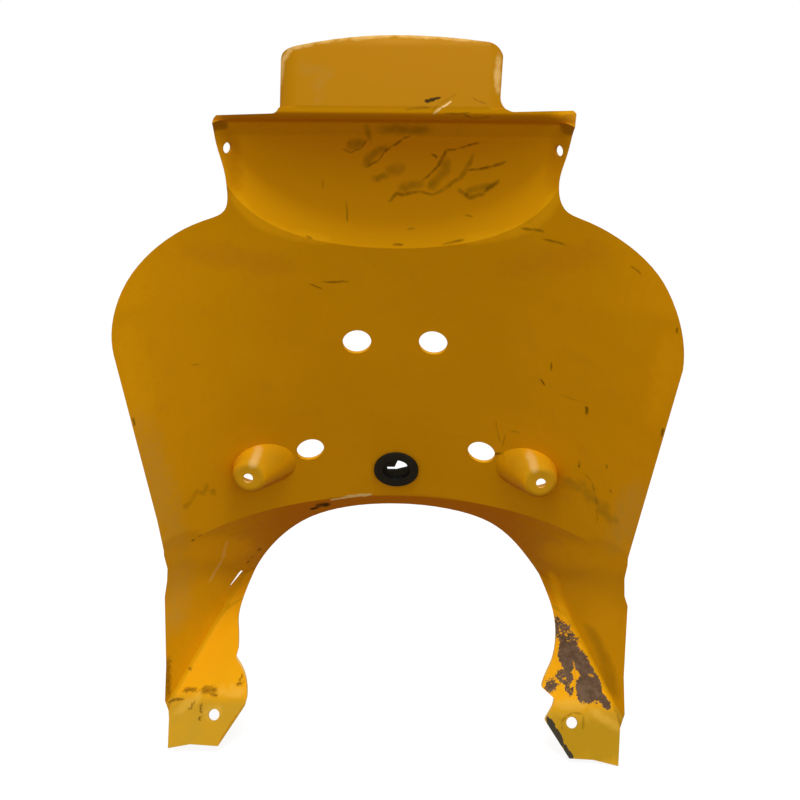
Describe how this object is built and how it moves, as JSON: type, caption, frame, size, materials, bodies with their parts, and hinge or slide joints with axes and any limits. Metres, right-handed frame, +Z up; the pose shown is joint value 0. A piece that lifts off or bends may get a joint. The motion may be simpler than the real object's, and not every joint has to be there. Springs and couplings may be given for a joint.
{
  "type": "motorcycle fairing",
  "caption": "Hollow scooter front fairing moulded in one piece, with curled wings, a steering neck with shelf and tongue, a wheel arch, screw feet and a rubber cable grommet.",
  "frame": {"origin": "midway between the two foot screw holes, on the rear face of the feet", "axes": "+Z up, +Y forward (the hollow side faces -Y), +X to the right of the vehicle seen from the rear"},
  "size_m": [0.3558, 0.1825, 0.516],
  "materials": {
    "shell_plastic": "golden yellow, worn satin gloss",
    "grommet_rubber": "matt black"
  },
  "bodies": {
    "root": {"fairing_shell": "shell_plastic", "cable_grommet": "grommet_rubber"}
  },
  "joints": []
}
